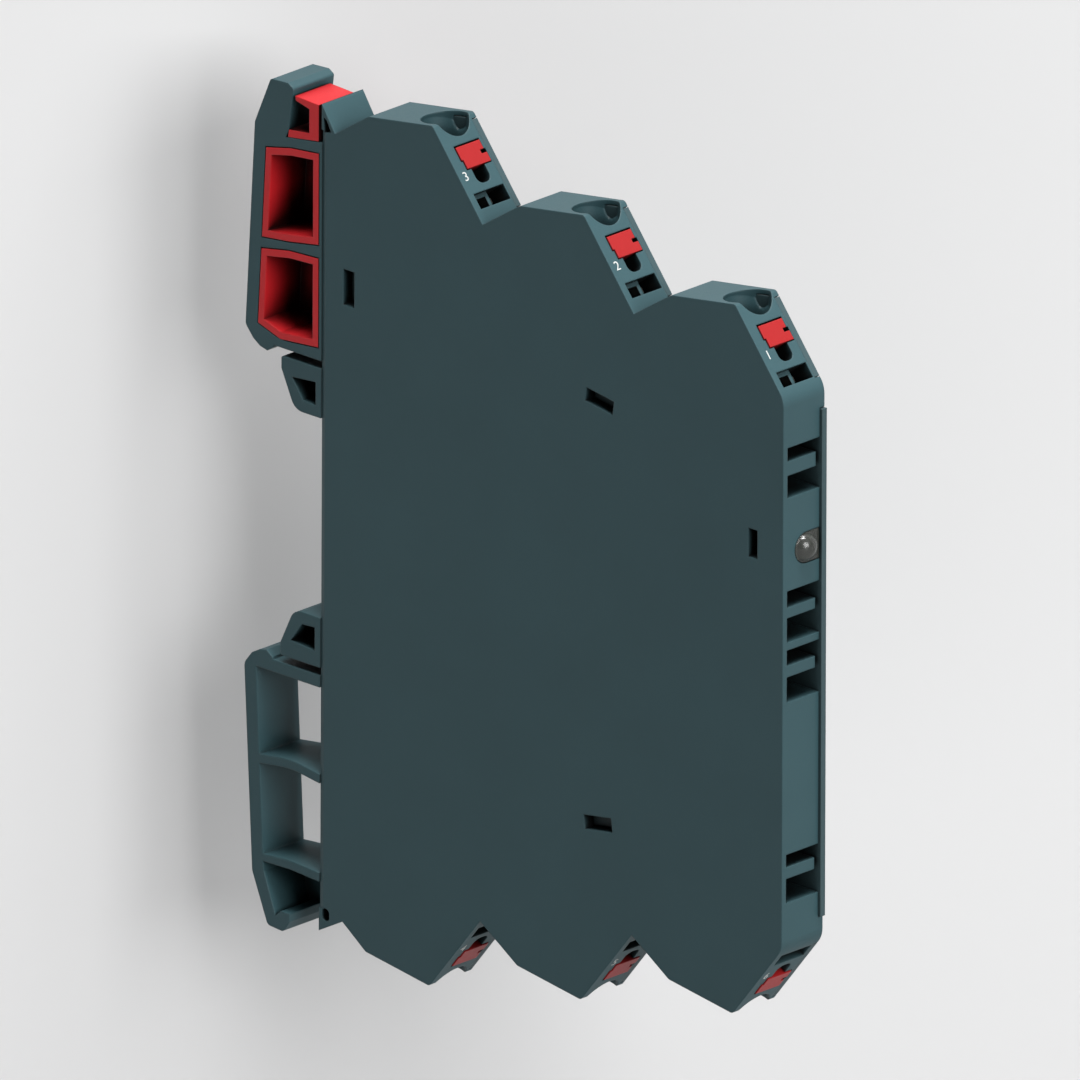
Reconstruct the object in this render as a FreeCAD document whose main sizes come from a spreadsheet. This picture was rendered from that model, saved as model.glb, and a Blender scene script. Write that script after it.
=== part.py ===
import FreeCAD, Part
import math
import os

# A slim signal conditioner that snaps onto a 35 mm mounting rail.
# Millimetres. X points from the rail to the front, Y runs through the slim width, Z is up.
# The origin lies in the plane where the rail's lips seat, at half width and half height.
# The near side panel is at negative Y, the separate side cover at positive Y.

os.makedirs("parts", exist_ok=True)
doc = FreeCAD.newDocument("signal_conditioner")

SIZES = [
    # housing outline
    ("module_width", 6.2),
    ("seat_to_base", 5.7),
    ("front_x", 72.6),
    ("crown_height", 48.0),
    ("crown_x", 21.7),
    ("tiers", 3),
    ("plateau_length", 9.33),
    ("plateau_angle", 8.6),
    ("terminal_face", 11.68),
    ("face_angle", 51.4),
    ("back_slope", 6.45),
    ("back_angle", 33.1),
    ("lug_height", 46.25),
    ("lug_root_x", 7.6),
    ("lug_root_height", 43.4),
    ("low_lug_height", 46.0),
    ("low_lug_root_x", 9.1),
    ("low_lug_root_height", 44.15),
    ("corner_radius", 0.5),
    ("front_radius", 2.5),
    ("rear_bevel_width", 0.6),
    ("rear_bevel_depth", 0.2),
    # walls
    ("panel_wall", 0.8),
    ("rim_wall", 1.0),
    ("cover_thickness", 0.7),
    ("cover_ledge", 0.5),
    ("cover_gap", 0.08),
    ("strip_half_height", 28.4),
    ("strip_proud", 0.35),
    # rail feet
    ("rail_width", 35.0),
    ("rail_gap", 0.05),
    ("rail_lip", 1.1),
    ("toe_grip", 0.8),
    ("foot_depth", 5.2),
    ("foot_lean", 3.1),
    ("foot_bar", 1.65),
    ("foot_top", 47.3),
    ("web_thickness", 0.9),
    ("insert_gap", 0.12),
    ("insert_frame", 0.8),
    ("insert_floor", 0.8),
    ("nose_half_height", 16.7),
    ("nose_inner_height", 11.15),
    ("pocket_floor", 0.8),
    # terminals, measured along and square to the terminal face from its upper corner
    ("face_wall", 2.4),
    ("entry_angle", 11.0),
    ("entry_radius", 2.55),
    ("entry_depth", 4.2),
    ("entry_end_radius", 1.65),
    ("throat_width", 2.3),
    ("pusher_start", 3.04),
    ("pusher_end", 5.57),
    ("pusher_proud", 0.1),
    ("pusher_gap", 0.12),
    ("pusher_top_gap", 0.2),
    ("pusher_travel", 1.5),
    ("probe_end", 7.5),
    ("probe_width", 2.0),
    ("jumper_start", 8.3),
    ("jumper_end", 10.06),
    ("jumper_recess", 0.8),
    ("chamber_depth", 6.2),
    ("bar_thickness", 0.6),
    ("bar_width", 3.4),
    ("bar_base", 11.0),
    ("spring_thickness", 0.35),
    ("spring_width", 3.0),
    # circuit board
    ("board_near", 0.6),
    ("board_thickness", 1.0),
    ("board_gap", 0.4),
    ("board_height", 35.2),
    ("post_gap", 0.15),
    ("collar_wall", 0.8),
    ("post_recess", 1.2),
    ("pin_width", 0.7),
    # front
    ("slot_near", 2.45),
    ("tongue_reach", 1.8),
    ("slot_depth", 6.0),
    ("lens_radius", 1.65),
    ("lens_flange", 0.2),
    ("lens_proud", 1.0),
    ("lens_height", 13.4),
    ("lens_side", 0.45),
    ("lens_gap", 0.1),
]

sheet = doc.addObject("Spreadsheet::Sheet", "Sizes")
for row, (name, value) in enumerate(SIZES, start=1):
    sheet.set(f"A{row}", name)
    sheet.set(f"B{row}", str(value))
    sheet.setAlias(f"B{row}", name)
doc.recompute()


class Values:
    """Every size of the sheet, read back as a plain number."""


v = Values()
for name, value in SIZES:
    setattr(v, name, float(sheet.get(name)))


def bind(feature, prop, expression):
    """Ties a property to the sheet; a name in the expression is a name in the sheet."""
    words = expression.replace("(", "( ").replace(")", " )").split()
    known = {name for name, value in SIZES}
    feature.setExpression(prop, " ".join("Sizes." + w if w in known else w for w in words))


def cosd(angle):
    return math.cos(math.radians(angle))


def sind(angle):
    return math.sin(math.radians(angle))


def vec(x, y=0.0, z=0.0):
    return FreeCAD.Vector(x, y, z)


def tangent_points(before, corner, after, radius):
    """Where a rounding of a corner starts, its middle, and where it ends."""
    to_before = (before - corner).normalize()
    to_after = (after - corner).normalize()
    half = to_before.getAngle(to_after) / 2
    reach = radius / math.tan(half)
    inward = (to_before + to_after).normalize()
    middle = corner + inward * (radius / math.sin(half) - radius)
    return corner + to_before * reach, middle, corner + to_after * reach


def add_loop(sketch, corners):
    """Draws a closed outline; a corner with a third value is rounded to that radius."""
    points = [vec(c[0], c[1]) for c in corners]
    count = len(points)
    pieces = []
    for i in range(count):
        radius = corners[i][2] if len(corners[i]) > 2 else 0
        if radius:
            pieces.append(tangent_points(points[i - 1], points[i], points[(i + 1) % count], radius))
        else:
            pieces.append((points[i], None, points[i]))
    for i in range(count):
        start, middle, end = pieces[i]
        if middle is not None:
            sketch.addGeometry(Part.Arc(start, middle, end))
        following = pieces[(i + 1) % count][0]
        if (following - end).Length > 1e-6:
            sketch.addGeometry(Part.LineSegment(end, following))


def add_circle(sketch, centre_x, centre_y, radius):
    sketch.addGeometry(Part.Circle(vec(centre_x, centre_y), vec(0, 0, 1), radius))


def origin_plane(body, role):
    return [f for f in body.Origin.OriginFeatures if f.Role == role][0]


def new_sketch(body, name, role, loops):
    sketch = body.newObject("Sketcher::SketchObject", name)
    sketch.AttachmentSupport = [(origin_plane(body, role), "")]
    sketch.MapMode = "FlatFace"
    for loop in loops:
        add_loop(sketch, loop)
    return sketch


def side_sketch(body, name, loops, level):
    """A sketch in X and Z at the Y that the expression gives."""
    sketch = new_sketch(body, name, "XZ_Plane", loops)
    bind(sketch, ".AttachmentOffset.Base.z", f"-1 * ( {level} )")
    return sketch


def tilted_sketch(body, name, loops, base, angle):
    """A sketch square to the Y axis's turn by the angle, its own X down the slope, its own Y along Y."""
    sketch = new_sketch(body, name, "XY_Plane", loops)
    turn = FreeCAD.Rotation(vec(0, 1, 0), getattr(v, angle))
    sketch.AttachmentOffset = FreeCAD.Placement(base, turn)
    bind(sketch, ".AttachmentOffset.Rotation.Angle", angle)
    return sketch


def pad(body, sketch, length):
    """Adds material from the sketch towards positive Y or, on a front sketch, towards the rail."""
    feature = body.newObject("PartDesign::Pad", sketch.Name + "_pad")
    feature.Profile = sketch
    bind(feature, "Length", length)
    feature.Reversed = True
    doc.recompute()
    return feature


def pocket(body, sketch, length, reverse=False):
    """Cuts from the sketch towards positive Y, inwards on a front or terminal sketch."""
    before = body.Shape.Volume
    feature = body.newObject("PartDesign::Pocket", sketch.Name + "_cut")
    feature.Profile = sketch
    bind(feature, "Length", length)
    feature.Reversed = reverse
    doc.recompute()
    if body.Shape.Volume > before - 1e-6:
        raise RuntimeError(f"{feature.Name} cuts nothing")
    return feature


def new_body(name):
    body = doc.addObject("PartDesign::Body", name)
    body.Label = name
    return body


def mirrored_z(loop):
    """The same outline on the other side of the rail's centre line, still anticlockwise."""
    return [(c[0], -c[1]) + tuple(c[2:]) for c in reversed(loop)]


def inset(loop, distance):
    """An outline moved inwards, square to each of its edges; corners stay sharp."""
    points = [vec(c[0], c[1]) for c in loop]
    count = len(points)
    moved = []
    for i in range(count):
        along_in = (points[i] - points[i - 1]).normalize()
        along_out = (points[(i + 1) % count] - points[i]).normalize()
        left_in = vec(-along_in.y, along_in.x)
        left_out = vec(-along_out.y, along_out.x)
        share = distance / (1 + left_in.dot(left_out))
        moved.append(points[i] + (left_in + left_out) * share)
    return [(p.x, p.y) for p in moved]


# The housing's outline, from the rail side over the stepped terminals to the front.

face_down = (cosd(v.face_angle), -sind(v.face_angle))
face_out = (sind(v.face_angle), cosd(v.face_angle))
half_width = v.module_width / 2
step_x = v.plateau_length * cosd(v.plateau_angle) + v.terminal_face * face_down[0]
step_x = step_x + v.back_slope * cosd(v.back_angle)
step_z = v.plateau_length * sind(v.plateau_angle) + v.terminal_face * face_down[1]
step_z = step_z + v.back_slope * sind(v.back_angle)
tier_count = int(v.tiers)
crowns = [(v.crown_x + k * step_x, v.crown_height + k * step_z) for k in range(tier_count)]


def at_face(crown, along, deep):
    """The point so far down a terminal face from its crown and so deep behind it."""
    x = crown[0] + along * face_down[0] - deep * face_out[0]
    z = crown[1] + along * face_down[1] - deep * face_out[1]
    return x, z


def upper_outline(lug_root, lug_top):
    corners = [(v.front_x, 0)]
    last = crowns[-1]
    reach = (v.front_x - last[0]) / face_down[0]
    corners.append((v.front_x, last[1] + reach * face_down[1], v.front_radius))
    for k in reversed(range(tier_count)):
        crown = crowns[k]
        plateau_x = crown[0] - v.plateau_length * cosd(v.plateau_angle)
        plateau_z = crown[1] - v.plateau_length * sind(v.plateau_angle)
        corners.append((crown[0], crown[1], v.corner_radius))
        corners.append((plateau_x, plateau_z, v.corner_radius))
        if k:
            foot_x = plateau_x - v.back_slope * cosd(v.back_angle)
            corners.append((foot_x, plateau_z - v.back_slope * sind(v.back_angle)))
    corners.append(lug_root)
    corners.append((v.seat_to_base, lug_top))
    return corners


outline = upper_outline((v.lug_root_x, v.lug_root_height), v.lug_height)
outline += mirrored_z(upper_outline((v.low_lug_root_x, v.low_lug_root_height), v.low_lug_height))
outline = [c for c in outline if c[1] != 0]
cover_edge = v.strip_half_height
near_face = "module_width * -0.5"
floor_level = "panel_wall - module_width * 0.5"
ledge_level = "module_width * 0.5 - cover_thickness"
floor_y = v.panel_wall - half_width
ledge_y = half_width - v.cover_thickness

# The snap posts of the cover: centre in X and Z, length, height and tilt of each.

POSTS = [
    (9.7, 26.7, 1.3, 3.7, 0),
    (46.0, 23.65, 3.7, 1.25, -8.5),
    (68.25, 13.6, 1.0, 2.9, 0),
    (46.0, -23.5, 3.7, 1.25, 8.5),
]


def post_loop(post, margin):
    x, z, length, height, tilt = post
    loop = []
    for side_x, side_z in ((1, -1), (1, 1), (-1, 1), (-1, -1)):
        dx = side_x * (length / 2 + margin)
        dz = side_z * (height / 2 + margin)
        loop.append((x + dx * cosd(tilt) - dz * sind(tilt), z + dx * sind(tilt) + dz * cosd(tilt)))
    return loop


# The cavity that holds the board; its front edge steps back behind the comb slots.

SLOT_SETS = [
    (25.2, 23.7, 22.1, 19.6),
    (9.2, 7.4, 6.2, 3.46),
    (2.6, 0.9, -0.4, -3.2),
    (-20.2, -21.6, -22.9, -25.6),
]
inner_front = v.front_x - v.rim_wall
block_front = v.front_x - v.slot_depth
cavity_slope = step_z / step_x


def board_edge(x):
    return v.board_height + cavity_slope * (x - v.seat_to_base)


def cavity_top(x):
    return board_edge(x) + v.board_gap + 0.3


def cavity_loop():
    back = v.seat_to_base + v.rim_wall
    low = -cavity_top(block_front)
    high = cavity_top(block_front)
    loop = [(back, -cavity_top(back)), (block_front, low), (block_front, -19.0), (inner_front, -19.0)]
    loop += [(inner_front, -4.4), (block_front, -4.4), (block_front, 10.4), (inner_front, 10.4)]
    loop += [(inner_front, 18.4), (block_front, 18.4), (block_front, high), (back, cavity_top(back))]
    return loop


def chamber_loop(crown):
    """The clamp's chamber behind one terminal face."""
    first = v.pusher_start
    wall = v.face_wall
    deep = v.chamber_depth
    spots = [(first - 0.2, wall), (first - 0.12, 3.5), (3.4, 4.35), (0.3, 6.9), (0.3, 7.6)]
    spots += [(4.4, 14.0), (10.5, 12.8)]
    spots += [(10.5, deep), (7.9, deep), (7.9, wall)]
    return [at_face(crown, along, deep_in) for along, deep_in in spots]


# Rail feet and noses.

toe_height = v.rail_width / 2 - v.toe_grip
notch_height = v.rail_width / 2 + v.rail_gap
inside = v.seat_to_base + v.rim_wall / 2


def foot_back(z):
    """X of the foot's rear plane, which leans in towards its free end."""
    return -v.foot_depth + (z - 19.0) * math.tan(math.radians(v.foot_lean))


def upper_foot_loop():
    loop = [(inside, notch_height), (inside, 42.0), (0.5, 41.2), (0.92, 42.1), (1.55, 46.85, 0.3)]
    loop += [(0.8, v.foot_top), (-1.7, v.foot_top - 0.15, 0.4), (foot_back(41.8), 41.8, 1.0)]
    loop += [(foot_back(18.9), 18.9, 0.8), (-4.1, 17.6), (-3.1, 16.95), (-2.05, toe_height)]
    loop += [(-v.rail_lip - 0.1, toe_height + 0.6), (-v.rail_lip, notch_height)]
    return loop


def lower_foot_loop():
    loop = [(inside, -notch_height), (-v.rail_lip, -notch_height)]
    loop += [(-v.rail_lip - 0.1, -toe_height - 0.6), (-2.05, -toe_height), (-3.1, -16.95)]
    loop += [(-4.1, -17.5, 0.6), (foot_back(18.9), -18.9, 1.1), (foot_back(41.8), -41.8, 1.0)]
    loop += [(-1.7, -v.foot_top, 0.6), (0.6, -v.foot_top - 0.2, 0.6), (1.45, -46.2)]
    loop += [(1.45, -45.3), (0.2, -45.3), (-0.6, -46.0), (foot_back(42.0) + v.foot_bar, -41.5)]
    loop += [(foot_back(40.5) + v.foot_bar, -40.4), (1.6, -40.3), (inside, -40.6)]
    return loop


def nose_loop():
    loop = [(inside, v.nose_inner_height), (inside, v.nose_half_height)]
    loop += [(0, v.nose_half_height, 0.3), (0, 15.3, 0.3), (1.95, v.nose_inner_height, 1.7)]
    return loop


def upper_windows():
    """The two windows that hold the insert's cups."""
    right = v.seat_to_base - 0.3
    first = [(foot_back(19.4) + v.foot_bar, 19.4), (-0.2, 18.35, 6.0), (right, 18.85), (right, 29.0)]
    first += [(1.0, 28.75, 8.0), (foot_back(28.0) + v.foot_bar, 28.0)]
    second = [(foot_back(29.1) + v.foot_bar, 29.1), (1.0, 29.55, 8.0), (right, 30.3), (right, 40.7)]
    second += [(1.2, 40.25, 8.0), (foot_back(39.42) + v.foot_bar, 39.42)]
    return [first, second]


def lower_windows():
    right = v.seat_to_base
    first = [(right, -28.6), (right, -18.9), (foot_back(19.4) + v.foot_bar, -18.9)]
    first += [(foot_back(28.6) + v.foot_bar, -28.6), (1.5, -28.0, 12.0)]
    second = [(right, -39.6), (right, -29.6), (1.5, -29.0, 12.0)]
    second += [(foot_back(29.6) + v.foot_bar, -29.6), (foot_back(39.6) + v.foot_bar, -39.6), (1.5, -39.3, 12.0)]
    return [first, second]


def nose_pocket():
    return [(1.5, 14.7), (3.1, 12.5), (4.95, 12.4), (4.95, 15.0)]


def lug_slots():
    """The slots in the two lugs, each with a thin wall left at the lug's slanted edge."""
    upper_slot = [(6.05, 43.15), (7.05, 43.4), (6.4, 44.6, 0.1), (5.95, 44.9, 0.1)]
    lower_slot = [(6.15, -44.75, 0.45), (7.2, -44.65, 0.45), (7.2, -43.4, 0.45), (6.15, -43.3, 0.45)]
    return [upper_slot, lower_slot]


def foot_end_pocket():
    """The dark third cell of the lower foot, closed at the far side."""
    deep = v.seat_to_base + 0.2
    low = -45.9
    loop = [(foot_back(41) + v.foot_bar - 0.3, -40.5), (foot_back(45.9) + v.foot_bar + 1.0, low)]
    return loop + [(0.4, low), (0.4, -45.3), (deep, -45.3), (deep, -40.5)]


# The near side shell with the rail feet, the terminals and the front comb.


PUSHER_NEAR, PUSHER_FAR = -1.65, 1.9
STEP_NEAR, STEP_FAR = -1.42, 2.1
PUSHER_STEP = 1.5
NOTCH_HEIGHT = 0.45
NOTCH_DEPTH = 0.55


def pusher_face():
    """The pusher's end: an upper pad, then a step set towards the far side, notched between."""
    step = v.pusher_start + PUSHER_STEP
    loop = [(v.pusher_start, PUSHER_NEAR), (step, PUSHER_NEAR), (step, STEP_NEAR), (v.pusher_end, STEP_NEAR)]
    loop += [(v.pusher_end, STEP_FAR), (step, STEP_FAR), (step, PUSHER_FAR - NOTCH_DEPTH)]
    loop += [(step - NOTCH_HEIGHT, PUSHER_FAR - NOTCH_DEPTH), (step - NOTCH_HEIGHT, PUSHER_FAR)]
    return loop + [(v.pusher_start, PUSHER_FAR)]


def pusher_window():
    """The opening in the terminal face round a pusher; the notch stays open."""
    gap = v.pusher_gap
    start = v.pusher_start - v.pusher_top_gap
    step = v.pusher_start + PUSHER_STEP
    loop = [(start, PUSHER_NEAR - gap), (step + gap, PUSHER_NEAR - gap)]
    loop += [(step + gap, STEP_NEAR - gap), (v.pusher_end + gap, STEP_NEAR - gap)]
    loop += [(v.pusher_end + gap, STEP_FAR + gap), (step - NOTCH_HEIGHT, STEP_FAR + gap)]
    return loop + [(step - NOTCH_HEIGHT, PUSHER_FAR + gap), (start, PUSHER_FAR + gap)]


def face_strips(margin, outside):
    """Where the side cover's edge comes out along each terminal face."""
    first = v.corner_radius + margin + 0.2
    loops = []
    for crown in crowns:
        face = min(v.terminal_face, (v.front_x - crown[0]) / face_down[0] - v.front_radius / 4)
        last = face - v.corner_radius - margin
        spots = [(first, v.rim_wall - margin), (first, -outside), (last, -outside), (last, v.rim_wall - margin)]
        loops.append([at_face(crown, along, deep) for along, deep in spots])
    return loops + [mirrored_z(loop) for loop in loops]


def build_shell():
    body = new_body("housing_shell")
    sides = side_sketch(body, "shell_outline", [outline], near_face)
    pad(body, sides, "module_width")
    cavity = side_sketch(body, "board_cavity", [cavity_loop()], floor_level)
    pocket(body, cavity, "module_width")
    feet = side_sketch(body, "upper_foot", [upper_foot_loop()] + upper_windows(), near_face)
    pad(body, feet, "module_width")
    low_foot = side_sketch(body, "lower_foot", [lower_foot_loop()] + lower_windows(), near_face)
    pad(body, low_foot, "module_width")
    noses = side_sketch(body, "rail_noses", [nose_loop(), mirrored_z(nose_loop())], near_face)
    pad(body, noses, "module_width")
    loops = [nose_pocket(), mirrored_z(nose_pocket())]
    hollows = side_sketch(body, "nose_hollows", loops, near_face)
    pocket(body, hollows, "module_width - pocket_floor")
    slots = side_sketch(body, "lug_slots", lug_slots(), near_face)
    pocket(body, slots, "module_width - pocket_floor - cover_thickness")
    shelf = side_sketch(body, "insert_recess", [insert_plate_loop(v.insert_gap)], insert_recess_level)
    pocket(body, shelf, "module_width")
    floor = side_sketch(body, "foot_end_floor", [foot_end_pocket()], "module_width * 0.5 - pocket_floor")
    pad(body, floor, "pocket_floor")
    upper_floor = side_sketch(body, "foot_top_floor", [insert_back_loop()], "module_width * 0.5 - pocket_floor")
    pad(body, upper_floor, "pocket_floor")
    ledge = side_sketch(body, "cover_ledge_outline", [inset(outline, v.cover_ledge)], ledge_level)
    pocket(body, ledge, "module_width")
    strip = [(inner_front - 1, -cover_edge), (v.front_x + 1, -cover_edge)]
    strip += [(v.front_x + 1, cover_edge), (inner_front - 1, cover_edge)]
    front_gap = side_sketch(body, "cover_strip_gap", [strip] + face_strips(0, 1), ledge_level)
    pocket(body, front_gap, "module_width")
    rear = v.seat_to_base
    wedge = [(rear, -half_width + v.rear_bevel_depth), (rear, -half_width - 1), (rear + v.rear_bevel_width, -half_width - 1)]
    wedge.append((rear + v.rear_bevel_width, -half_width))
    bevel = new_sketch(body, "rear_bevel", "XY_Plane", [wedge])
    bind(bevel, ".AttachmentOffset.Base.z", "lug_root_height")
    pocket(body, bevel, "2 * lug_root_height")
    collars = side_sketch(body, "post_collars", [post_loop(p, v.post_gap + v.collar_wall) for p in POSTS], floor_level)
    pad(body, collars, "board_near - panel_wall + module_width * 0.5")
    windows = side_sketch(body, "post_windows", [post_loop(p, v.post_gap) for p in POSTS], near_face)
    pocket(body, windows, "module_width")
    cut_terminals(body)
    cut_front(body)
    return body


def cut_terminals(body):
    """One terminal is cut out, then repeated down the steps and mirrored below the rail."""
    crown = crowns[0]
    base = vec(crown[0], 0, crown[1])
    chamber = side_sketch(body, "clamp_chamber", [chamber_loop(crown)], floor_level)
    cuts = [pocket(body, chamber, "module_width")]
    half_throat = v.throat_width / 2
    mouth = (crown[0] - 1.27, crown[1] - 1.09)
    square = [(-half_throat, -half_throat), (half_throat, -half_throat)]
    square += [(half_throat, half_throat), (-half_throat, half_throat)]
    throat = tilted_sketch(body, "entry_throat", [square], vec(mouth[0], 0, mouth[1]), "entry_angle")
    cuts.append(pocket(body, throat, "entry_depth + 1.5"))
    funnel = body.newObject("Sketcher::SketchObject", "entry_funnel")
    funnel.AttachmentSupport = [(origin_plane(body, "XZ_Plane"), "")]
    funnel.MapMode = "FlatFace"
    turn = FreeCAD.Rotation(vec(0, 0, 1), -v.entry_angle)
    funnel.AttachmentOffset = FreeCAD.Placement(vec(mouth[0], mouth[1]), turn)
    bind(funnel, ".AttachmentOffset.Rotation.Angle", "-1 * entry_angle")
    wide = v.entry_radius
    add_loop(funnel, [(0, -v.entry_depth), (v.entry_end_radius, -v.entry_depth), (wide, -0.4), (wide, 4), (0, 4)])
    groove = body.newObject("PartDesign::Groove", "entry_funnel_cut")
    groove.Profile = funnel
    groove.ReferenceAxis = (funnel, ["V_Axis"])
    groove.Angle = 360
    before = body.Shape.Volume
    doc.recompute()
    if body.Shape.Volume > before - 1:
        raise RuntimeError("the wire entry cuts nothing")
    cuts.append(groove)
    slot = tilted_sketch(body, "pusher_slot", [pusher_window()], base, "face_angle")
    cuts.append(pocket(body, slot, "face_wall + 0.5"))
    probe_half = v.probe_width / 2
    start = v.pusher_end
    probe = [(start, -probe_half + 0.1), (v.probe_end, -probe_half + 0.1, 0.8)]
    probe += [(v.probe_end, probe_half + 0.1, 0.8), (start, probe_half + 0.1)]
    probe_slot = tilted_sketch(body, "probe_slot", [probe], base, "face_angle")
    cuts.append(pocket(body, probe_slot, "face_wall + 0.5"))
    near_cell = [(v.jumper_start + 0.5, -2.25), (v.jumper_end, -2.25), (v.jumper_end, -0.2)]
    near_cell += [(v.jumper_start + 0.5, -0.2)]
    far_cell = [(v.jumper_start, 0.25), (v.jumper_end, 0.25), (v.jumper_end, 2.2), (v.jumper_start, 2.2)]
    recess = [(v.jumper_start, -2.25), (v.jumper_end, -2.25), (v.jumper_end, 2.2), (v.jumper_start, 2.2)]
    shallow = tilted_sketch(body, "jumper_recess", [recess], base, "face_angle")
    cuts.append(pocket(body, shallow, "jumper_recess"))
    jumper = tilted_sketch(body, "jumper_cells", [near_cell, far_cell], base, "face_angle")
    cuts.append(pocket(body, jumper, "chamber_depth + 0.5"))
    steps = body.newObject("Sketcher::SketchObject", "tier_line")
    steps.AttachmentSupport = [(origin_plane(body, "XZ_Plane"), "")]
    steps.MapMode = "FlatFace"
    steps.addGeometry(Part.LineSegment(vec(*crowns[0]), vec(*crowns[-1])), True)
    pattern = body.newObject("PartDesign::MultiTransform", "terminal_rows")
    tiers = doc.addObject("PartDesign::LinearPattern", "tier_pattern")
    tiers.Direction = (steps, ["Axis0"])
    tiers.Length = math.hypot(crowns[-1][0] - crowns[0][0], crowns[-1][1] - crowns[0][1])
    tiers.Occurrences = tier_count
    mirror = doc.addObject("PartDesign::Mirrored", "tier_mirror")
    mirror.MirrorPlane = (origin_plane(body, "XY_Plane"), [""])
    pattern.Originals = cuts
    pattern.Transformations = [tiers, mirror]
    body.Tip = pattern
    before = body.Shape.Volume
    doc.recompute()
    if body.Shape.Volume > before - 100:
        raise RuntimeError("the terminal pattern cuts nothing")


def slot_loop(slots):
    """One comb slot of the front: open to the far side, with a tongue from the near side."""
    top, tongue_top, tongue_low, low = slots
    near = -v.slot_near
    far = half_width
    loop = [(near, low), (far, low), (far, top), (near, top), (near, tongue_top)]
    loop += [(v.tongue_reach, tongue_top), (v.tongue_reach, tongue_low), (near, tongue_low)]
    return loop


def cut_front(body):
    comb = new_sketch(body, "comb_slots", "YZ_Plane", [slot_loop(s) for s in SLOT_SETS])
    bind(comb, ".AttachmentOffset.Base.z", "front_x")
    pocket(body, comb, "slot_depth + 0.5")
    hole = new_sketch(body, "lens_hole", "YZ_Plane", [lens_opening(v.lens_gap, half_width)])
    bind(hole, ".AttachmentOffset.Base.z", "front_x")
    pocket(body, hole, "rim_wall + 0.5")


def lens_opening(margin, far):
    """The lens's outline on the front: a half circle that runs on to the side cover."""
    radius = v.lens_radius + margin
    near = v.lens_side - radius
    low = v.lens_height - radius
    high = v.lens_height + radius
    return [(near, low, radius), (far, low), (far, high), (near, high, radius)]


# The red insert of the upper foot.

insert_recess_level = "module_width * 0.5 - insert_floor - insert_gap"


def insert_plate_loop(margin):
    """The insert's back plate, which passes behind the foot's webs."""
    right = v.seat_to_base - 0.42 + margin
    low_left = foot_back(19.6) + v.foot_bar + v.insert_gap - margin
    high_left = foot_back(39.2) + v.foot_bar + v.insert_gap - margin
    return [(low_left, 19.52 - margin), (-0.2, 18.6 - margin), (right, 19.0 - margin)] + [
        (right, 42.6 + margin), (0.9, 42.1 + margin), (0.75, 39.9), (high_left, 39.1 + margin)]


def insert_back_loop():
    """The thin wall at the far side of the upper foot's third cell."""
    return [(0.8, 42.9), (v.seat_to_base + 0.4, 42.9), (v.seat_to_base + 0.4, 45.5), (1.3, 45.5)]


def build_insert():
    body = new_body("rail_foot_insert")
    gap = v.insert_gap
    depth = "module_width - insert_floor"
    cups = []
    hollows = []
    for window in upper_windows():
        sharp = [(c[0], c[1]) for c in window]
        cup = inset(sharp, gap)
        cups.append(cup)
        hollows.append(inset(cup, v.insert_frame))
    plate = side_sketch(body, "insert_plate", [insert_plate_loop(0)], "module_width * 0.5 - insert_floor")
    pad(body, plate, "insert_floor")
    right = v.seat_to_base - 0.45
    bar = [(0.85, 41.3), (right, 41.95), (right, 42.7), (0.95, 42.15)]
    walls = side_sketch(body, "insert_cups", cups + [bar], near_face)
    pad(body, walls, depth)
    holes = side_sketch(body, "insert_hollows", hollows, near_face)
    pocket(body, holes, depth)
    hook = [(right - 1.35, 42.3), (right, 42.3), (right, 46.0), (1.85, 46.15), (1.95, 45.65), (right - 1.35, 45.2)]
    clasp = side_sketch(body, "insert_clasp", [hook], near_face)
    pad(body, clasp, "module_width - pocket_floor - insert_gap")
    return body


# The side cover with its front strip, board ribs and snap posts.


def build_cover():
    body = new_body("side_cover")
    plate = [(c[0], c[1]) for c in inset(outline, v.cover_ledge + v.cover_gap)]
    sheet_sketch = side_sketch(body, "cover_plate", [plate], ledge_level)
    pad(body, sheet_sketch, "cover_thickness")
    edge = cover_edge - v.cover_gap
    strip = [(inner_front - 0.9, -edge), (v.front_x + v.strip_proud, -edge)]
    strip += [(v.front_x + v.strip_proud, edge), (inner_front - 0.9, edge)]
    front = side_sketch(body, "cover_front_strip", [strip] + face_strips(v.cover_gap, 0), ledge_level)
    pad(body, front, "cover_thickness")
    posts = side_sketch(body, "snap_posts", [post_loop(p, 0) for p in POSTS], "post_recess - module_width * 0.5")
    pad(body, posts, "module_width - cover_thickness - post_recess")
    ribs = []
    for x, z in ((20, 0), (52, 8), (52, -8), (12, -24)):
        ribs.append([(x, z), (x + 6, z), (x + 6, z + 0.8), (x, z + 0.8)])
    bars = side_sketch(body, "board_ribs", ribs, "board_near + board_thickness")
    pad(body, bars, "module_width * 0.5 - cover_thickness - board_near - board_thickness")
    return body


# Pushers, clamp springs and current bars of the six terminals.


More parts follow.
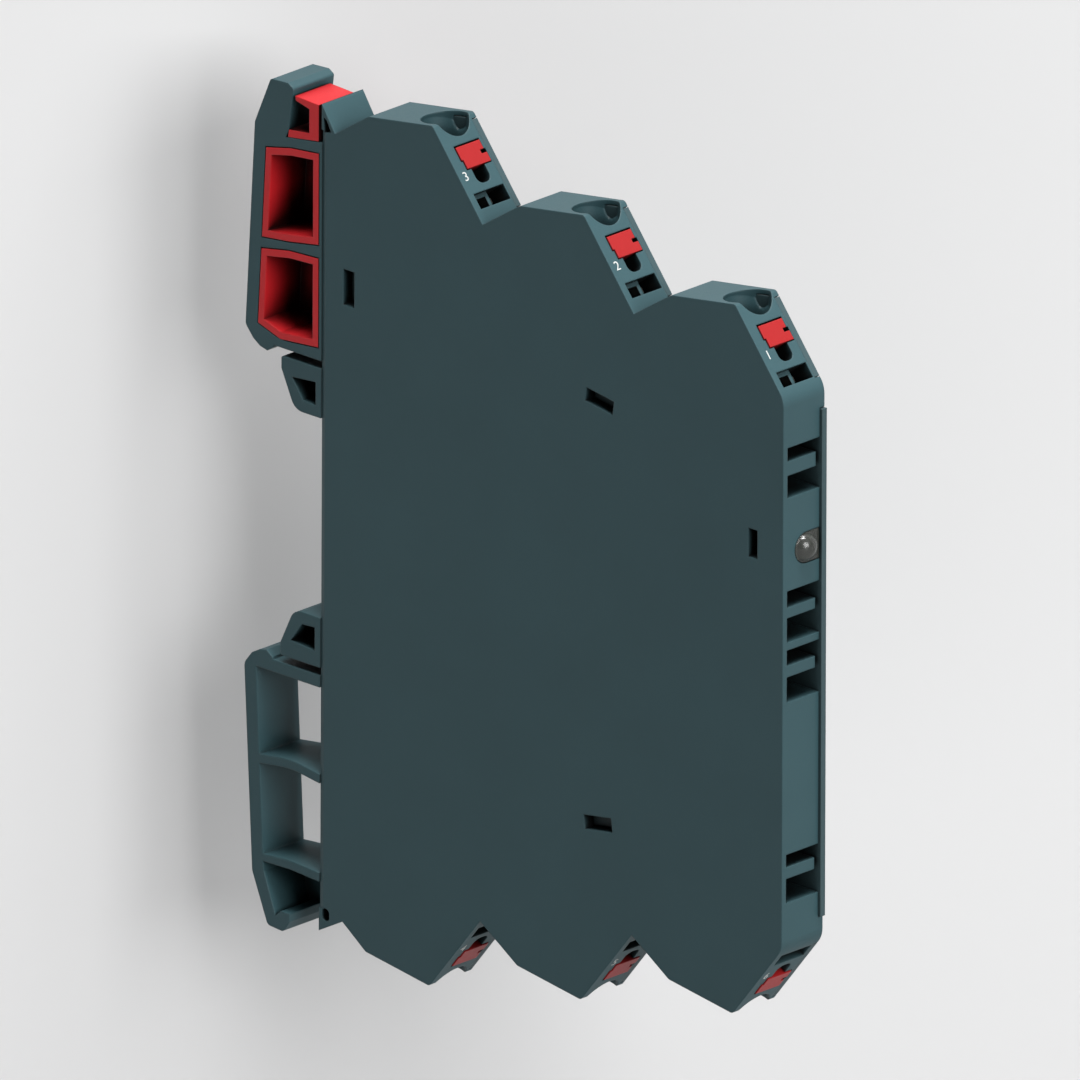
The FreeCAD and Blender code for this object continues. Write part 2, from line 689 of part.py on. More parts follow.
def build_pusher(name, crown):
    """A push button: a notched head in the slot, a shoulder behind the wall, a slanted nose."""
    body = new_body(name)
    base = vec(crown[0], 0, crown[1])
    head = tilted_sketch(body, name + "_head", [pusher_face()], base, "face_angle")
    bind(head, ".AttachmentOffset.Base.x", f"{base.x} + pusher_proud * sin( face_angle * 1deg )")
    bind(head, ".AttachmentOffset.Base.z", f"{base.z} + pusher_proud * cos( face_angle * 1deg )")
    feature = body.newObject("PartDesign::Pad", name + "_head_pad")
    feature.Profile = head
    bind(feature, "Length", "face_wall + pusher_proud + 2.3")
    feature.Reversed = True
    doc.recompute()
    shoulder_top = v.face_wall + 0.05
    spots = [(v.pusher_start + 0.15, shoulder_top), (v.pusher_end, shoulder_top), (v.pusher_end, 4.7)]
    spots += [(v.pusher_start + 0.15, shoulder_top + 0.1)]
    loop = [at_face(crown, along, deep) for along, deep in reversed(spots)]
    shoulder = side_sketch(body, name + "_shoulder", [loop], "-2.1")
    pad(body, shoulder, "4.3")
    trim_spots = [(v.pusher_start - 0.5, 1.62 - 0.6), (v.pusher_end + 0.5, 4.7 + 0.6)]
    trim_spots += [(v.pusher_end + 0.5, 9.0), (v.pusher_start - 0.5, 9.0)]
    trim = [at_face(crown, along, deep) for along, deep in reversed(trim_spots)]
    slope = side_sketch(body, name + "_nose", [trim], near_face)
    pocket(body, slope, "module_width")
    return body


def strip_loop(crown, path, thickness):
    """The edge view of a bent strip; path gives points down and behind the face, with bend radii."""
    points = [vec(p[0], p[1]) for p in path]
    sides = ([], [])
    last = len(points) - 1
    for i, point in enumerate(points):
        along_in = (points[max(i, 1)] - points[max(i, 1) - 1]).normalize()
        along_out = (points[min(i + 1, last)] - points[min(i, last - 1)]).normalize()
        left_in = vec(-along_in.y, along_in.x)
        left_out = vec(-along_out.y, along_out.x)
        share = (left_in + left_out) * (thickness / 2 / (1 + left_in.dot(left_out)))
        turn = along_in.x * along_out.y - along_in.y * along_out.x
        radius = path[i][2] if len(path[i]) > 2 else 0
        for side, sign in ((0, 1), (1, -1)):
            spot = point + share * sign
            bend = radius - sign * math.copysign(thickness / 2, turn) if radius else 0
            sides[side].append(at_face(crown, spot.x, spot.y) + ((bend,) if bend else ()))
    return sides[0] + sides[1][::-1]


def build_spring(name, crown):
    """A clamp spring bent from stainless strip: leg, loop, back and foot."""
    body = new_body(name)
    foot = v.bar_base - v.spring_thickness / 2
    path = [(4.62, 9.0), (6.02, 6.5, 1.0), (6.02, 3.1, 0.8), (7.66, 3.1, 0.8), (7.66, foot, 0.6), (6.5, foot)]
    loop = strip_loop(crown, path, v.spring_thickness)
    band = side_sketch(body, name + "_strip", [loop], "spring_width * -0.5")
    pad(body, band, "spring_width")
    return body


def build_bar(name, crown):
    """A current bar bent from copper strip, with its jumper arm and its solder pin."""
    body = new_body(name)
    half = v.bar_thickness / 2
    arm = 9.2
    lean = v.face_angle - v.entry_angle
    run = v.bar_base + half
    start_s, side = 4.6, -1.5 - half
    top = (0.03 + start_s * sind(lean) + side * cosd(lean), 1.68 + start_s * cosd(lean) - side * sind(lean))
    reach = (run - top[1]) / cosd(lean)
    path = [top, (top[0] + reach * sind(lean), run, 0.5), (arm, run, 0.5), (arm, 2.2)]
    band = side_sketch(body, name + "_strip", [strip_loop(crown, path, v.bar_thickness)], "bar_width * -0.5")
    pad(body, band, "bar_width")
    tail = [(arm - half, v.bar_base), (arm - half, 15.8), (arm + half, 15.8), (arm + half, v.bar_base)]
    slit_spots = [(arm - v.bar_thickness, 1.5), (arm - v.bar_thickness, v.chamber_depth + 0.4)]
    slit_spots += [(arm + v.bar_thickness, v.chamber_depth + 0.4), (arm + v.bar_thickness, 1.5)]
    slit = side_sketch(body, name + "_fork", [[at_face(crown, *p) for p in slit_spots]], "-0.4")
    pocket(body, slit, "0.85")
    tab = side_sketch(body, name + "_tail", [[at_face(crown, *p) for p in tail]], "bar_width * -0.5")
    pad(body, tab, "bar_width * 0.5 + board_near")
    pin_half = v.pin_width / 2 - 0.05
    pin = [(arm - pin_half, 14.6), (arm - pin_half, 15.3), (arm + pin_half, 15.3), (arm + pin_half, 14.6)]
    lead = side_sketch(body, name + "_pin", [[at_face(crown, *p) for p in pin]], "0")
    pad(body, lead, "board_near + board_thickness + 0.4")
    return body


def mirrored_copy(source, name):
    """The same piece below the rail's centre line."""
    copy = doc.addObject("Part::Mirroring", name)
    copy.Source = source
    copy.Normal = vec(0, 0, 1)
    copy.Label = name
    return copy


# Circuit board and what is soldered to it.


def build_board():
    body = new_body("circuit_board")
    back = v.seat_to_base + v.rim_wall + v.board_gap
    front = block_front - v.board_gap
    tab_end = inner_front - 0.8
    tab_low, tab_high = 10.4 + v.board_gap, 18.4 - v.board_gap
    loop = [(back, -board_edge(back)), (front, -board_edge(front)), (front, tab_low)]
    loop += [(tab_end, tab_low), (tab_end, tab_high), (front, tab_high)]
    loop += [(front, board_edge(front)), (back, board_edge(back))]
    holes = [post_loop(p, v.post_gap) for p in POSTS[:2] + POSTS[3:]]
    plate = side_sketch(body, "board_outline", [loop] + holes, "board_near")
    pad(body, plate, "board_thickness")
    notch = post_loop(POSTS[2], v.post_gap)
    slot = side_sketch(body, "board_slot", [notch], "board_near")
    pocket(body, slot, "board_thickness")
    pins = []
    for crown in crowns:
        for sign in (1, -1):
            x, z = at_face(crown, 9.2, 14.95)
            pins.append((x, z * sign))
    drill = side_sketch(body, "pin_holes", [], "board_near")
    for x, z in pins:
        add_circle(drill, x, z, v.pin_width * 0.8)
    pocket(body, drill, "board_thickness")
    return body


def box(name, x, z, length, height, depth):
    """A plain block standing on the near side of the board, its centre at X and Z."""
    block = doc.addObject("Part::Box", name)
    block.Length = length
    block.Height = height
    block.Width = depth
    block.Placement.Base = vec(x - length / 2, 0, z - height / 2)
    bind(block, ".Placement.Base.y", f"board_near - {depth}")
    return block


def fused(name, parts):
    joined = doc.addObject("Part::MultiFuse", name)
    joined.Shapes = parts
    joined.Label = name
    return joined


def grouped(name, parts):
    group = doc.addObject("Part::Compound", name)
    group.Links = parts
    group.Label = name
    return group


def chip(name, x, z, length, height, depth, leads):
    """A moulded circuit with bent leads along its two long sides."""
    case = box(name + "_case", x, z, length, height, depth)
    case.Placement.Base.y = 0
    bind(case, ".Placement.Base.y", f"board_near - {depth} - 0.15")
    pieces = [case]
    pitch = length / leads
    for k in range(leads):
        lead_x = x - length / 2 + pitch * (k + 0.5)
        pieces.append(box(f"{name}_lead_{k}", lead_x, z, pitch * 0.35, height + 2.0, 0.25))
    return fused(name, pieces)


def build_electronics():
    made = []
    core = box("core_block", 34, 0, 13, 17, 2.6)
    window = box("core_window", 34, 0, 8.4, 12, 3.0)
    post = box("core_post", 34, 0, 3.4, 17, 2.6)
    ring = doc.addObject("Part::Cut", "core_ring")
    ring.Base = core
    ring.Tool = window
    made.append(fused("transformer_core", [ring, post]))
    coil = box("coil_block", 34, 0, 8.2, 11.8, 2.4)
    bore = box("coil_bore", 34, 0, 3.6, 12.4, 3.0)
    winding = doc.addObject("Part::Cut", "transformer_winding")
    winding.Base = coil
    winding.Tool = bore
    winding.Label = "transformer_winding"
    made.append(winding)
    made.append(chip("microcontroller", 57, -10, 7, 7, 1.2, 8))
    made.append(chip("input_amplifier", 20, 15, 5, 4, 1.5, 4))
    made.append(chip("output_driver", 20, -15, 5, 4, 1.5, 4))
    made.append(chip("isolator_upper", 48, 11, 5, 4, 1.9, 4))
    made.append(chip("isolator_lower", 48, -11, 5, 4, 1.9, 4))
    choke = doc.addObject("Part::Cylinder", "power_choke")
    choke.Radius = 2.8
    choke.Height = 2.3
    choke.Placement = FreeCAD.Placement(vec(14, 0, 3), FreeCAD.Rotation(vec(1, 0, 0), 90))
    bind(choke, ".Placement.Base.y", "board_near")
    choke.Label = "power_choke"
    made.append(choke)
    spots = [(12.5, -7), (23, 5), (23, -5), (56, 3)]
    tanks = [box(f"capacitor_{k}", x, z, 3.5, 2.8, 1.9) for k, (x, z) in enumerate(spots)]
    made.append(grouped("tantalum_capacitors", tanks))
    spots = [(27, 13), (27, 16), (30, 13), (30, 16), (27, -13), (27, -16), (30, -13), (30, -16), (60, 8), (60, 5)]
    small = [box(f"resistor_{k}", x, z, 1.6, 0.8, 0.5) for k, (x, z) in enumerate(spots)]
    made.append(grouped("chip_resistors", small))
    spots = [(36, 19), (36, -19), (58, 16), (58, -17)]
    clamps = [box(f"surge_diode_{k}", x, z, 4.2, 2.6, 2.1) for k, (x, z) in enumerate(spots)]
    made.append(grouped("surge_diodes", clamps))
    light = box("status_led", inner_front - 1.25, v.lens_height, 0.8, 2.0, 1.2)
    light.Label = "status_led"
    made.append(light)
    return made


def build_lens():
    """The clear light dome: a flange behind the wall, a stem and a rounded end."""
    body = new_body("led_lens")
    stem = new_sketch(body, "lens_profile", "XZ_Plane", [])
    bind(stem, ".AttachmentOffset.Base.z", "-1 * lens_side")
    back = inner_front - 0.6
    dome = v.front_x + v.lens_proud
    start = dome - v.lens_radius
    axis_z = v.lens_height
    arc_mid = vec(start + v.lens_radius * cosd(45), axis_z + v.lens_radius * sind(45))
    rim = axis_z + v.lens_radius + v.lens_flange
    seat = inner_front - 0.05
    corners = [vec(dome, axis_z), vec(back, axis_z), vec(back, rim), vec(seat, rim)]
    corners += [vec(seat, axis_z + v.lens_radius), vec(start, axis_z + v.lens_radius)]
    for first, second in zip(corners, corners[1:]):
        stem.addGeometry(Part.LineSegment(first, second))
    stem.addGeometry(Part.Arc(corners[-1], arc_mid, corners[0]))
    turned = body.newObject("PartDesign::Revolution", "lens_turned")
    turned.Profile = stem
    turned.ReferenceAxis = (stem, ["Axis0"])
    turned.Angle = 360
    stem.addGeometry(Part.LineSegment(vec(0, axis_z), vec(10, axis_z)), True)
    doc.recompute()
    guide = new_sketch(body, "lens_guide", "YZ_Plane", [lens_opening(0, ledge_y - v.cover_gap)])
    bind(guide, ".AttachmentOffset.Base.z", "front_x")
    pad(body, guide, "rim_wall + 0.3")
    return body


pieces = [build_shell(), build_cover(), build_insert()]
for k, crown in enumerate(crowns, start=1):
    for kind, build in (("pusher", build_pusher), ("clamp_spring", build_spring), ("current_bar", build_bar)):
        top_piece = build(f"{kind}_top_{k}", crown)
        pieces.append(top_piece)
        pieces.append(mirrored_copy(top_piece, f"{kind}_bottom_{k}"))
pieces.append(build_board())
pieces.extend(build_electronics())
pieces.append(build_lens())
doc.recompute()

for item in doc.Objects:
    if "Invalid" in item.State or "Error" in item.State:
        raise RuntimeError(f"{item.Name} is {item.State}")
for piece in pieces:
    if piece.Shape.isNull() or not piece.Shape.isValid():
        raise RuntimeError(f"{piece.Label} has no valid shape")
for piece in pieces:
    piece.Shape.exportStep(f"parts/{piece.Label}.step")
print(len(pieces), "pieces")
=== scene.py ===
import math

import bpy
from mathutils import Matrix, Vector


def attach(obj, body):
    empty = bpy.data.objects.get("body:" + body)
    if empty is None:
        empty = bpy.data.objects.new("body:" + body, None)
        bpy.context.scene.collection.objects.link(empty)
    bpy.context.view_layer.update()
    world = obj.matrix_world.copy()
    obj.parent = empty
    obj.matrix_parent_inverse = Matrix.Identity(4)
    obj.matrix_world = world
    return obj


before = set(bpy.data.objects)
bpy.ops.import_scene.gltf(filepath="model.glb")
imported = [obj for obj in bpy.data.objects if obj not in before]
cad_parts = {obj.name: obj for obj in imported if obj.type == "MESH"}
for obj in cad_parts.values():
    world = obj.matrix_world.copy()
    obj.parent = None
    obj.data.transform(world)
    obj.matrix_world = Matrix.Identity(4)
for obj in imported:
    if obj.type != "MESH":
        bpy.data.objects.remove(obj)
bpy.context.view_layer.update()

bpy.ops.object.select_all(action="DESELECT")

# The moulded housing: one piece of glass-filled polyamide in a dark blue grey, with the
# fine spark-eroded grain that the mould leaves on every outside face. Its base colour has
# painted shade: it is painted darker towards the bottoms of deep hollows, where little light
# reaches.
housing_colour = (0.0233, 0.0558, 0.0644)
housing_grain = 0.00022
housing_roughness = 0.5
housing_variation = 0.07
housing_edge = 0.00024
housing_hollow_shade = (0.3, 0.6, 0.02)
hollow_reach = 0.0045
hollow_samples = 8
edge_samples = 6
plastic_specular = 0.25
plastic_sheen_spread = 0.07
cloud_scale = 90.0
cloud_stops = (0.3, 0.7)
grain_share = 0.45
grain_strength = 0.55


def add_node(tree, kind, **inputs):
    """Adds a node and sets its inputs by name."""
    node = tree.nodes.new(kind)
    for name, value in inputs.items():
        node.inputs[name.replace("_", " ")].default_value = value
    return node


def new_material(name):
    """An empty material with its node tree and its main shader."""
    material = bpy.data.materials.new(name)
    material.use_nodes = True
    tree = material.node_tree
    return material, tree, tree.nodes["Principled BSDF"]


def shaded(colour, share):
    """The colour with its brightness multiplied by a share."""
    return [channel * share for channel in colour]


def between(tree, pattern, darker, lighter, stops=(0.0, 1.0)):
    """Turns a pattern into colours between two, which are reached at the two stops."""
    ramp = tree.nodes.new("ShaderNodeValToRGB")
    for element, stop, colour in zip(ramp.color_ramp.elements, stops, (darker, lighter)):
        element.position = stop
        element.color = list(colour) + [1]
    tree.links.new(pattern, ramp.inputs["Fac"])
    return ramp.outputs["Color"]


def uneven_sheen(tree, pattern, roughness, spread):
    """Lets the roughness follow a pattern, by the spread to either side."""
    sheen = add_node(
        tree, "ShaderNodeMapRange", To_Min=roughness - spread, To_Max=roughness + spread)
    tree.links.new(pattern, sheen.inputs["Value"])
    tree.links.new(sheen.outputs["Result"], tree.nodes["Principled BSDF"].inputs["Roughness"])


def darken_hollows(tree, colour, hollow):
    """Paints shade into the base colour: darker where the surface is deeply enclosed.

    hollow gives the openness below which the colour is darkest, the openness from which
    it is whole, and the share that is left of it at its darkest.
    """
    darkest_at, whole_at, least_share = hollow
    opening = add_node(tree, "ShaderNodeAmbientOcclusion", Distance=hollow_reach)
    opening.samples = hollow_samples
    shade = add_node(
        tree, "ShaderNodeMapRange", From_Min=darkest_at, From_Max=whole_at, To_Min=least_share)
    tint = tree.nodes.new("ShaderNodeMixRGB")
    tint.blend_type = "MULTIPLY"
    tint.inputs["Fac"].default_value = 1.0
    tree.links.new(opening.outputs["AO"], shade.inputs["Value"])
    tree.links.new(colour, tint.inputs["Color1"])
    tree.links.new(shade.outputs["Result"], tint.inputs["Color2"])
    tree.links.new(tint.outputs["Color"], tree.nodes["Principled BSDF"].inputs["Base Color"])


def moulded_plastic(name, colour, grain, roughness, variation, edge=0.00016, depth=0.000012,
                    hollow=None):
    """A moulded surface: cloudy colour, fine grain, uneven sheen and softly broken edges."""
    material, tree, shader = new_material(name)
    shader.inputs["Specular IOR Level"].default_value = plastic_specular
    place = tree.nodes.new("ShaderNodeTexCoord")
    clouds = add_node(tree, "ShaderNodeTexNoise", Scale=cloud_scale, Detail=4.0, Roughness=0.6)
    grains = add_node(tree, "ShaderNodeTexNoise", Scale=1.0 / grain, Detail=3.0, Roughness=0.65)
    tree.links.new(place.outputs["Object"], clouds.inputs["Vector"])
    tree.links.new(place.outputs["Object"], grains.inputs["Vector"])

    # The colour wanders with a blend of the clouds and the grain.
    cloud_part = tree.nodes.new("ShaderNodeMath")
    cloud_part.operation = "MULTIPLY"
    cloud_part.inputs[1].default_value = 1 - grain_share
    blend = tree.nodes.new("ShaderNodeMath")
    blend.operation = "MULTIPLY_ADD"
    blend.inputs[1].default_value = grain_share
    tree.links.new(clouds.outputs["Fac"], cloud_part.inputs[0])
    tree.links.new(grains.outputs["Fac"], blend.inputs[0])
    tree.links.new(cloud_part.outputs[0], blend.inputs[2])
    wandering = between(
        tree, blend.outputs[0], shaded(colour, 1 - variation), shaded(colour, 1 + variation),
        cloud_stops)
    # With hollow given, the base colour gets painted shade in deep hollows.
    if hollow is None:
        tree.links.new(wandering, shader.inputs["Base Color"])
    else:
        darken_hollows(tree, wandering, hollow)

    # The grain also stirs the sheen and stands up a little; the edges are broken softly.
    uneven_sheen(tree, grains.outputs["Fac"], roughness, plastic_sheen_spread)
    corners = add_node(tree, "ShaderNodeBevel", Radius=edge)
    corners.samples = edge_samples
    bump = add_node(tree, "ShaderNodeBump", Strength=grain_strength, Distance=depth)
    tree.links.new(corners.outputs["Normal"], bump.inputs["Normal"])
    tree.links.new(grains.outputs["Fac"], bump.inputs["Height"])
    tree.links.new(bump.outputs["Normal"], shader.inputs["Normal"])
    return material


def dress(nodes, material):
    """Gives frame nodes their finish; their shape and place stay as they are."""
    for node in nodes:
        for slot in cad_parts[node].material_slots:
            slot.material = material


housing_plastic = moulded_plastic(
    "housing_plastic_grain", housing_colour, housing_grain, housing_roughness,
    housing_variation, edge=housing_edge, hollow=housing_hollow_shade)
dress(["housing_shell"], housing_plastic)

# The side cover: a thin moulded lid of the same polyamide, a shade less blue than the
# housing. Its four posts snap in behind the windows of the side panel.
cover_colour = (0.029, 0.053, 0.059)
# The cover's base colour gets painted shade in its deep hollows.
cover_hollow_shade = (0.3, 0.62, 0.03)
cover_plastic = moulded_plastic(
    "cover_plastic_grain", cover_colour, housing_grain, housing_roughness,
    housing_variation, hollow=cover_hollow_shade)
dress(["side_cover"], cover_plastic)

# The rail foot's insert and the six pushers: the same polyamide coloured signal red,
# a little smoother than the housing because fingers and tools bear on them. The one red
# is painted as two copies for the light: darker on the pushers, whose tops catch the top
# light, and lighter on the insert, which sits in shade. Both also get painted shade in
# their hollows.
insert_red_lifted_for_shade = (0.41, 0.011, 0.015)
insert_hollow_shade = (0.53, 1.0, 0.03)
pusher_red_dimmed_for_light = (0.235, 0.0083, 0.0092)
pusher_hollow_shade = (0.1, 0.45, 0.1)
red_grain = 0.0003
red_roughness = 0.42
red_variation = 0.06
red_depth = 0.000008
insert_red = moulded_plastic(
    "insert_red_plastic", insert_red_lifted_for_shade, red_grain, red_roughness, red_variation,
    depth=red_depth, hollow=insert_hollow_shade)
pusher_red = moulded_plastic(
    "pusher_red_plastic", pusher_red_dimmed_for_light, red_grain, red_roughness, red_variation,
    depth=red_depth, hollow=pusher_hollow_shade)
terminals = [f"{row}_{number}" for row in ("top", "bottom") for number in (1, 2, 3)]
dress(["rail_foot_insert"], insert_red)
dress([f"pusher_{terminal}" for terminal in terminals], pusher_red)

# The clamp springs of stainless strip and the current bars of tinned copper strip,
# one pair behind each wire entry. Rolling leaves fine lines along the strip.
spring_colour = (0.56, 0.55, 0.53)
spring_roughness = 0.32
bar_colour = (0.66, 0.63, 0.56)
bar_roughness = 0.38
strip_stretch = (1.0, 6.0, 1.0)
line_scale = 3000.0
line_shade = 0.82
line_strength = 0.3
line_depth = 0.000004
# Painted shade: the metals' base colour goes darker where they are enclosed.
metal_hollow_shade = (0.1, 0.6, 0.2)
metal_sheen_spread = 0.08


def metal(name, colour, roughness, stretch):
    """A rolled strip or drawn wire with fine lines along one direction, with painted shade
    where enclosed.
    """
    material, tree, shader = new_material(name)
    shader.inputs["Metallic"].default_value = 1.0
    place = tree.nodes.new("ShaderNodeTexCoord")
    squeeze = tree.nodes.new("ShaderNodeMapping")
    squeeze.inputs["Scale"].default_value = stretch
    lines = add_node(tree, "ShaderNodeTexNoise", Scale=line_scale, Detail=3.0)
    tree.links.new(place.outputs["Object"], squeeze.inputs["Vector"])
    tree.links.new(squeeze.outputs["Vector"], lines.inputs["Vector"])
    lined = between(tree, lines.outputs["Fac"], shaded(colour, line_shade), colour)
    darken_hollows(tree, lined, metal_hollow_shade)
    uneven_sheen(tree, lines.outputs["Fac"], roughness, metal_sheen_spread)
    bump = add_node(tree, "ShaderNodeBump", Strength=line_strength, Distance=line_depth)
    tree.links.new(lines.outputs["Fac"], bump.inputs["Height"])
    tree.links.new(bump.outputs["Normal"], shader.inputs["Normal"])
    return material


spring_steel = metal("stainless_strip", spring_colour, spring_roughness, strip_stretch)
tinned_copper = metal("tinned_strip", bar_colour, bar_roughness, strip_stretch)
dress([f"clamp_spring_{terminal}" for terminal in terminals], spring_steel)
dress([f"current_bar_{terminal}" for terminal in terminals], tinned_copper)

# The circuit board: glass laminate under a green solder mask that is thinner over
# the copper tracks, so that they show through as a lighter weave.
mask_colour = (0.012, 0.12, 0.05)
mask_weave = 0.0006
mask_depth = 0.00001
mask_roughness = 0.35
mask_variation = 0.3
board_mask = moulded_plastic(
    "board_mask", mask_colour, mask_weave, mask_roughness, mask_variation, depth=mask_depth)
dress(["circuit_board"], board_mask)

# The parts soldered to the board: ferrite core and choke, the copper winding, moulded
# circuits, resin-dipped capacitors and small ceramic resistors.
ferrite = moulded_plastic(
    "sintered_ferrite", (0.035, 0.035, 0.04), grain=0.0002, roughness=0.6, variation=0.2)
chip_epoxy = moulded_plastic(
    "chip_epoxy", (0.022, 0.022, 0.025), grain=0.00025, roughness=0.5, variation=0.15)
winding_wire = metal(
    "enamelled_wire", (0.6, 0.27, 0.12), roughness=0.35, stretch=(1.0, 1.0, 30.0))
capacitor_resin = moulded_plastic(
    "capacitor_resin", (0.6, 0.34, 0.06), grain=0.0004, roughness=0.45, variation=0.1)
resistor_glaze = moulded_plastic(
    "resistor_glaze", (0.05, 0.05, 0.06), grain=0.0003, roughness=0.3, variation=0.2)
chips = [
    "microcontroller", "input_amplifier", "output_driver", "isolator_upper", "isolator_lower",
    "surge_diodes",
]
dress(["transformer_core", "power_choke"], ferrite)
dress(["transformer_winding"], winding_wire)
dress(chips, chip_epoxy)
dress(["tantalum_capacitors"], capacitor_resin)
dress(["chip_resistors"], resistor_glaze)

# The status light: a clear moulded dome that stands out of the front wall, and the
# small lamp on the board behind it.
lens_colour = (0.15, 0.16, 0.145)
lens_grain = 0.0004
lens_roughness = 0.19
lens_variation = 0.05
lens_depth = 0.000004
lens_clearness = 0.85
lens_refraction = 1.49
lens_plastic = moulded_plastic(
    "clear_lens", lens_colour, lens_grain, lens_roughness, lens_variation, depth=lens_depth)
lens_shader = lens_plastic.node_tree.nodes["Principled BSDF"]
lens_shader.inputs["Transmission Weight"].default_value = lens_clearness
lens_shader.inputs["IOR"].default_value = lens_refraction
dress(["led_lens"], lens_plastic)
led_body = moulded_plastic(
    "led_body", (0.7, 0.7, 0.62), grain=0.0003, roughness=0.4, variation=0.08)
dress(["status_led"], led_body)

# The terminal numbers, 1 to 3 above and 4 to 6 below: small white pad-printed numerals
# between the panel's edge and each probe slot, one thin film of ink on the housing.
# Places run from each terminal face's crown edge; the lower row is the upper one mirrored.
marking_ink = moulded_plastic(
    "marking_ink", (0.38, 0.39, 0.38), grain=0.0001, roughness=0.5, variation=0.06,
    edge=0.00001, depth=0.000002)
numeral_size = 0.00145
numeral_along = 0.0063
numeral_across = -0.0021
curve_steps = 4
ink_thickness = 0.00001
ink_lift = ink_thickness * 0.6
terminals_in_row = 3
first_crown = Vector((0.0217, 0.0, 0.048))
crown_step = Vector((0.021915, 0.0, -0.004211))
face_down = Vector((0.6239, 0.0, -0.7815))
face_out = Vector((0.7815, 0.0, 0.6239))


def print_numeral(number):
    """Makes one numeral as a thin mesh that lies on its terminal face."""
    if number <= terminals_in_row:
        side, step = 1, terminals_in_row - number
    else:
        side, step = -1, number - terminals_in_row - 1
    spot = first_crown + crown_step * step + face_down * numeral_along
    spot = spot + Vector((0.0, numeral_across, 0.0)) + face_out * ink_lift
    outwards = Vector((face_out.x, 0.0, side * face_out.z))
    reading = Vector((0.0, 1.0, 0.0))
    axes = Matrix((reading, outwards.cross(reading), outwards)).transposed().to_4x4()
    bpy.ops.object.select_all(action="DESELECT")
    bpy.ops.object.text_add(location=(0, 0, 0))
    writing = bpy.context.object.data
    writing.body = str(number)
    writing.size = numeral_size
    writing.extrude = ink_thickness
    writing.align_x = "CENTER"
    writing.align_y = "CENTER"
    writing.resolution_u = curve_steps
    bpy.ops.object.convert(target="MESH")
    numeral = bpy.context.object
    numeral.matrix_world = Matrix.Translation((spot.x, spot.y, side * spot.z)) @ axes
    bpy.ops.object.transform_apply(location=True, rotation=True, scale=True)
    return numeral


numerals = [print_numeral(number) for number in range(1, 2 * terminals_in_row + 1)]
bpy.ops.object.select_all(action="DESELECT")
for numeral in numerals:
    numeral.select_set(True)
bpy.context.view_layer.objects.active = numerals[0]
bpy.ops.object.join()
terminal_numerals = bpy.context.object
terminal_numerals.name = "terminal_numerals"
bpy.ops.object.mode_set(mode="EDIT")
bpy.ops.mesh.select_all(action="SELECT")
bpy.ops.mesh.normals_make_consistent(inside=False)
bpy.ops.object.mode_set(mode="OBJECT")
bpy.ops.object.select_all(action="DESELECT")
terminal_numerals.data.materials.clear()
terminal_numerals.data.materials.append(marking_ink)
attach(terminal_numerals, "housing")

# The camera: a parallel view, as in a catalogue picture taken from far off, a little
# above the object and towards its front corner. The aim point falls on the aim pixel.
view_azimuth = math.radians(43.7)
view_elevation = math.radians(20.6)
view_roll = math.radians(0.214)
aim_point = Vector((0.03974, 0.0, 0.0))
aim_pixel = (575.97, 590.90)
frame_pixels = 1080
pixels_per_metre = 9569.0
camera_distance = 1.2
nearest_seen = 0.05
farthest_seen = 20.0
backwards = Vector((
    math.sin(view_azimuth) * math.cos(view_elevation),
    -math.cos(view_azimuth) * math.cos(view_elevation),
    math.sin(view_elevation),
))
level_right = Vector((math.cos(view_azimuth), math.sin(view_azimuth), 0.0))
rightwards = Matrix.Rotation(view_roll, 3, backwards) @ level_right
upwards = backwards.cross(rightwards)
view_centre = aim_point - rightwards * ((aim_pixel[0] - frame_pixels / 2) / pixels_per_metre)
view_centre = view_centre + upwards * ((aim_pixel[1] - frame_pixels / 2) / pixels_per_metre)
camera_data = bpy.data.cameras.new("camera")
camera_data.type = "ORTHO"
camera_data.ortho_scale = frame_pixels / pixels_per_metre
camera_data.clip_start = nearest_seen
camera_data.clip_end = farthest_seen
camera = bpy.data.objects.new("camera", camera_data)
bpy.context.collection.objects.link(camera)
camera.location = view_centre + backwards * camera_distance
camera.rotation_euler = Matrix((rightwards, upwards, backwards)).transposed().to_euler()
bpy.context.scene.camera = camera

# The floor and the pale backdrop, an upright sheet close behind the object. Both show
# only from their front, so that other views look through them.
floor_height = -0.085
floor_reach = 1.2
floor_colour = (0.25, 0.25, 0.251, 1.0)
backdrop_depth = 0.042
backdrop_reach = 0.6
backdrop_colour = (0.575, 0.575, 0.577, 1.0)
paper_roughness = 0.9
paper_specular = 0.1


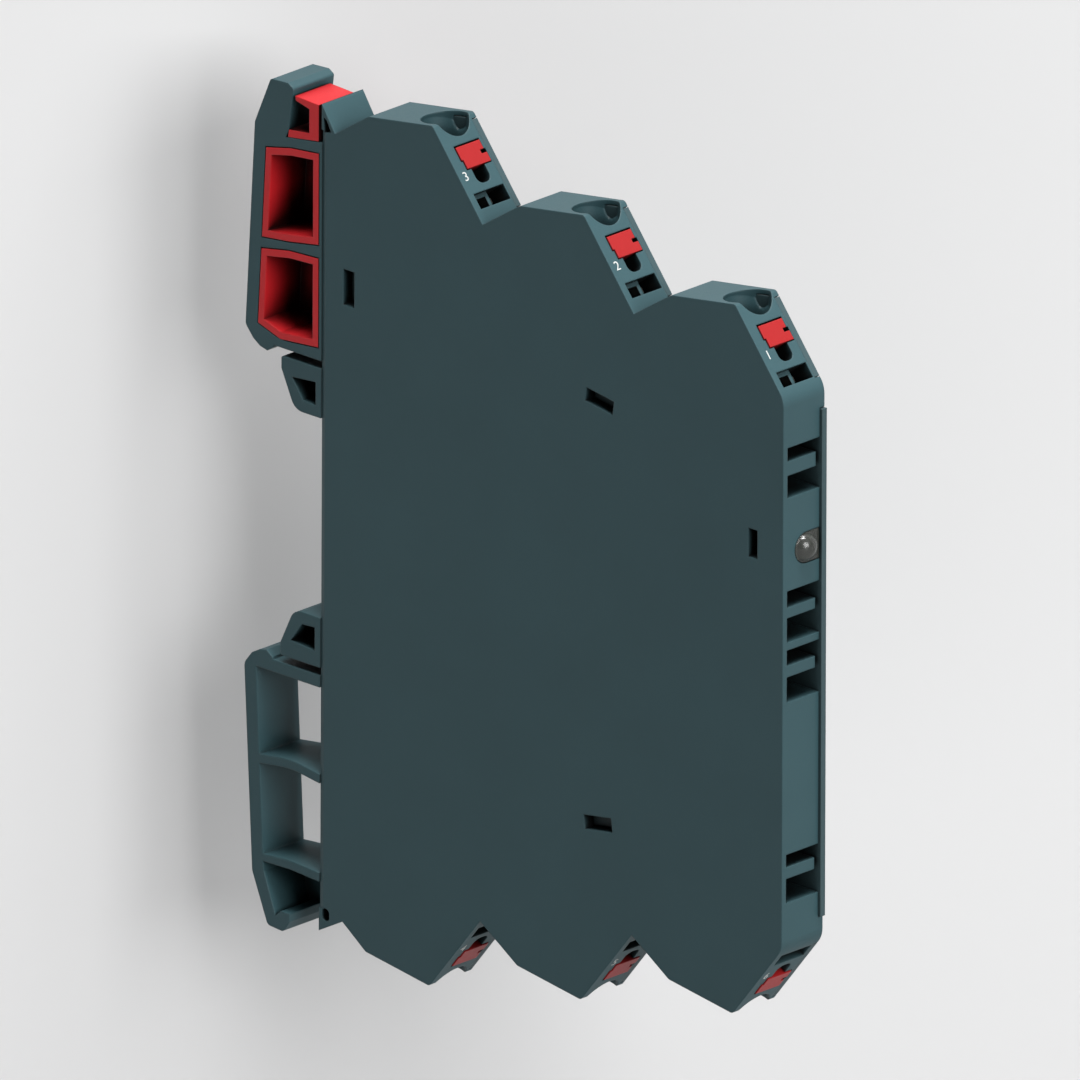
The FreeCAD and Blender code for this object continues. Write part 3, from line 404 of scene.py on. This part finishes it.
def paper(name, colour):
    """Matt paper that is seen through from behind."""
    material, tree, shader = new_material(name)
    shader.inputs["Base Color"].default_value = colour
    shader.inputs["Roughness"].default_value = paper_roughness
    shader.inputs["Specular IOR Level"].default_value = paper_specular
    side = tree.nodes.new("ShaderNodeNewGeometry")
    clear = tree.nodes.new("ShaderNodeBsdfTransparent")
    mixer = tree.nodes.new("ShaderNodeMixShader")
    tree.links.new(side.outputs["Backfacing"], mixer.inputs[0])
    tree.links.new(shader.outputs["BSDF"], mixer.inputs[1])
    tree.links.new(clear.outputs["BSDF"], mixer.inputs[2])
    tree.links.new(mixer.outputs["Shader"], tree.nodes["Material Output"].inputs["Surface"])
    return material


bpy.ops.mesh.primitive_plane_add(size=2 * floor_reach, location=(0, 0, floor_height))
floor = bpy.context.object
floor.name = "floor"
floor.data.materials.append(paper("floor_paper", floor_colour))
bpy.ops.mesh.primitive_plane_add(size=2 * backdrop_reach)
backdrop = bpy.context.object
backdrop.name = "backdrop"
straight_up = Vector((0.0, 0.0, 1.0))
sheet_front = level_right.cross(straight_up)
backdrop.matrix_world = Matrix((level_right, straight_up, sheet_front)).transposed().to_4x4()
backdrop.location = view_centre - sheet_front * backdrop_depth
backdrop.data.materials.append(paper("backdrop_paper", backdrop_colour))

# The studio light: a wide soft box above, a second one to the right of the camera that
# throws the soft shadow to the left, and a faint even white surround.
lamp_distance = 2.0
top_direction = (0.1, -0.03, 0.97)
top_size = 1.0
top_strength = 2.35
side_direction = (0.9, -0.18, 0.36)
side_size = 1.2
side_strength = 1.22
surround_colour = (1, 1, 1, 1)
surround_strength = 0.1


def soft_box(name, direction, size, strength):
    """A square lamp that would light a white surface facing it to the given brightness."""
    lamp = bpy.data.lights.new(name, "AREA")
    lamp.shape = "SQUARE"
    lamp.size = size
    lamp.energy = strength * math.pi ** 2 * lamp_distance ** 2
    holder = bpy.data.objects.new(name, lamp)
    bpy.context.collection.objects.link(holder)
    towards = Vector(direction).normalized()
    holder.location = view_centre + towards * lamp_distance
    holder.rotation_euler = towards.to_track_quat("Z", "Y").to_euler()


soft_box("top_light", top_direction, top_size, top_strength)
soft_box("side_light", side_direction, side_size, side_strength)
world = bpy.data.worlds.new("surround")
bpy.context.scene.world = world
world.use_nodes = True
surround = world.node_tree.nodes["Background"]
surround.inputs["Color"].default_value = surround_colour
surround.inputs["Strength"].default_value = surround_strength
bpy.context.scene.view_settings.view_transform = "Standard"
